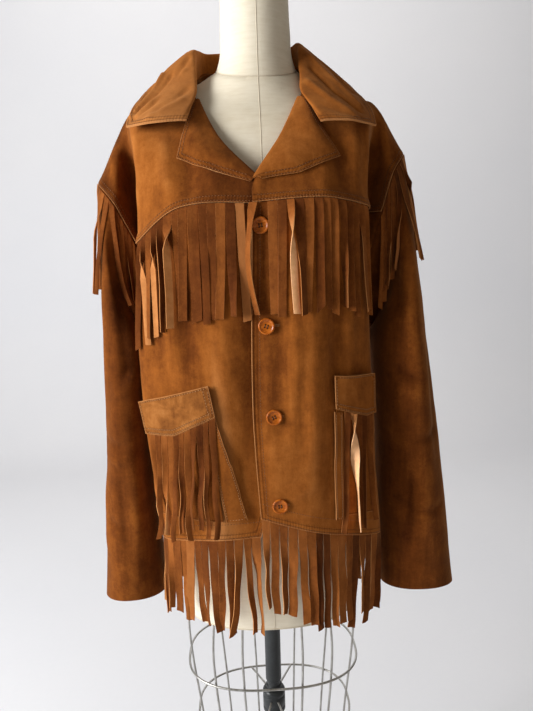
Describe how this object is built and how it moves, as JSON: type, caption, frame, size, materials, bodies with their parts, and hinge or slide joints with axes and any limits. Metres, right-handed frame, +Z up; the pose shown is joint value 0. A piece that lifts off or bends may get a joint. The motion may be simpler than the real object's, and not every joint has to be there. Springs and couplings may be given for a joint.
{
  "type": "suede fringed jacket on a dress form",
  "caption": "Fringed western suede jacket with notch collar, buttons and flap-band pockets, shown on a limbless linen dress form with a wire cage and a round pole base.",
  "frame": {"origin": "on the floor, under the middle of the pole: the centre of the base's flat underside", "axes": "+Z up along the pole; the jacket's front faces -Y; the wearer's left is +X"},
  "size_m": [0.588, 0.44, 1.6781],
  "materials": {
    "suede": "napped suede",
    "suede_trim": "napped suede, lighter",
    "button": "polished, four holes",
    "linen": "woven linen",
    "wire": "bare steel wire",
    "pole": "satin charcoal paint"
  },
  "bodies": {
    "root": {"back": "suede", "back_fringe": "suede", "back_hem_fringe": "suede", "back_yoke": "suede", "base": "pole", "button_1": "button", "button_2": "button", "button_3": "button", "button_4": "button", "cage_ring_foot": "wire", "cage_ring_lower": "wire", "cage_ring_upper": "wire", "cage_wire_01": "wire", "cage_wire_02": "wire", "cage_wire_03": "wire", "cage_wire_04": "wire", "cage_wire_05": "wire", "cage_wire_06": "wire", "cage_wire_07": "wire", "cage_wire_08": "wire", "cage_wire_09": "wire", "cage_wire_10": "wire", "collar": "suede", "form_neck": "linen", "form_neck_cap": "pole", "form_torso": "linen", "hub": "pole", "left_chest_fringe": "suede", "left_front": "suede", "left_front_yoke": "suede", "left_hem_fringe": "suede", "left_lapel": "suede", "left_pocket_bag": "suede", "left_pocket_band": "suede_trim", "left_pocket_border": "suede_trim", "left_pocket_fringe": "suede", "left_sleeve": "suede", "left_sleeve_fringe": "suede", "pole": "pole", "pole_top": "pole", "right_chest_fringe": "suede", "right_front": "suede", "right_front_yoke": "suede", "right_hem_fringe": "suede", "right_lapel": "suede", "right_pocket_bag": "suede", "right_pocket_band": "suede_trim", "right_pocket_border": "suede_trim", "right_pocket_fringe": "suede", "right_sleeve": "suede", "right_sleeve_fringe": "suede", "strut_1": "wire", "strut_2": "wire", "strut_3": "wire", "strut_4": "wire"}
  },
  "joints": []
}
